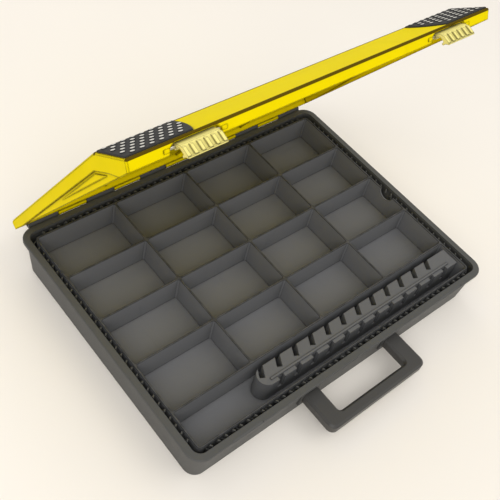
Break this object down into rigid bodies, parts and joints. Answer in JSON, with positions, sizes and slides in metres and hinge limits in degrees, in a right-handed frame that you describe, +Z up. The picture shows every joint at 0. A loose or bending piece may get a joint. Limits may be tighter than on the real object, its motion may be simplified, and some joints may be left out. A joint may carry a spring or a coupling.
{
  "type": "parts storage case with compartment tray",
  "caption": "Shallow parts storage case: dark base with a compartment tray and slotted tool rack, wedge-shaped hinged lid with snap latches and studded grip pads, and a loop handle.",
  "frame": {"origin": "middle of the base's underside, on the plane it rests on", "axes": "+X to the right and +Y to the back, seen from the handle's side, +Z up; the lid's hinge axis runs along X at the back"},
  "size_m": [0.3736, 0.3248, 0.2797],
  "materials": {
    "case_grey": "moulded, light grain",
    "tray_grey": "moulded, light grain",
    "handle_black": "moulded, satin",
    "lid_yellow": "moulded, semi-gloss",
    "latch_yellow": "moulded, semi-gloss",
    "pad_black": "soft, studded",
    "pin_steel": "drawn wire"
  },
  "bodies": {
    "base": {"base_shell": "case_grey", "compartment_tray": "tray_grey", "tool_rack": "tray_grey", "handle": "handle_black", "hinge_rod": "pin_steel"},
    "lid": {"lid_shell": "lid_yellow", "grip_pad_left": "pad_black", "grip_pad_right": "pad_black", "latch_pin_left": "pin_steel", "latch_pin_right": "pin_steel"},
    "latch_left": {"latch_left": "latch_yellow"},
    "latch_right": {"latch_right": "latch_yellow"}
  },
  "joints": [
    {"name": "lid_hinge", "type": "hinge", "parent": "base", "child": "lid", "pos_m": [0, 0.144, 0.044], "axis": [-1, 0, 0], "range_deg": [-54, 56]},
    {"name": "latch_left_pivot", "type": "hinge", "parent": "lid", "child": "latch_left", "pos_m": [-0.132, -0.01737, 0.27393], "axis": [-1, 0, 0], "range_deg": [-18, 28]},
    {"name": "latch_right_pivot", "type": "hinge", "parent": "lid", "child": "latch_right", "pos_m": [0.132, -0.01737, 0.27393], "axis": [-1, 0, 0], "range_deg": [-18, 28]}
  ]
}
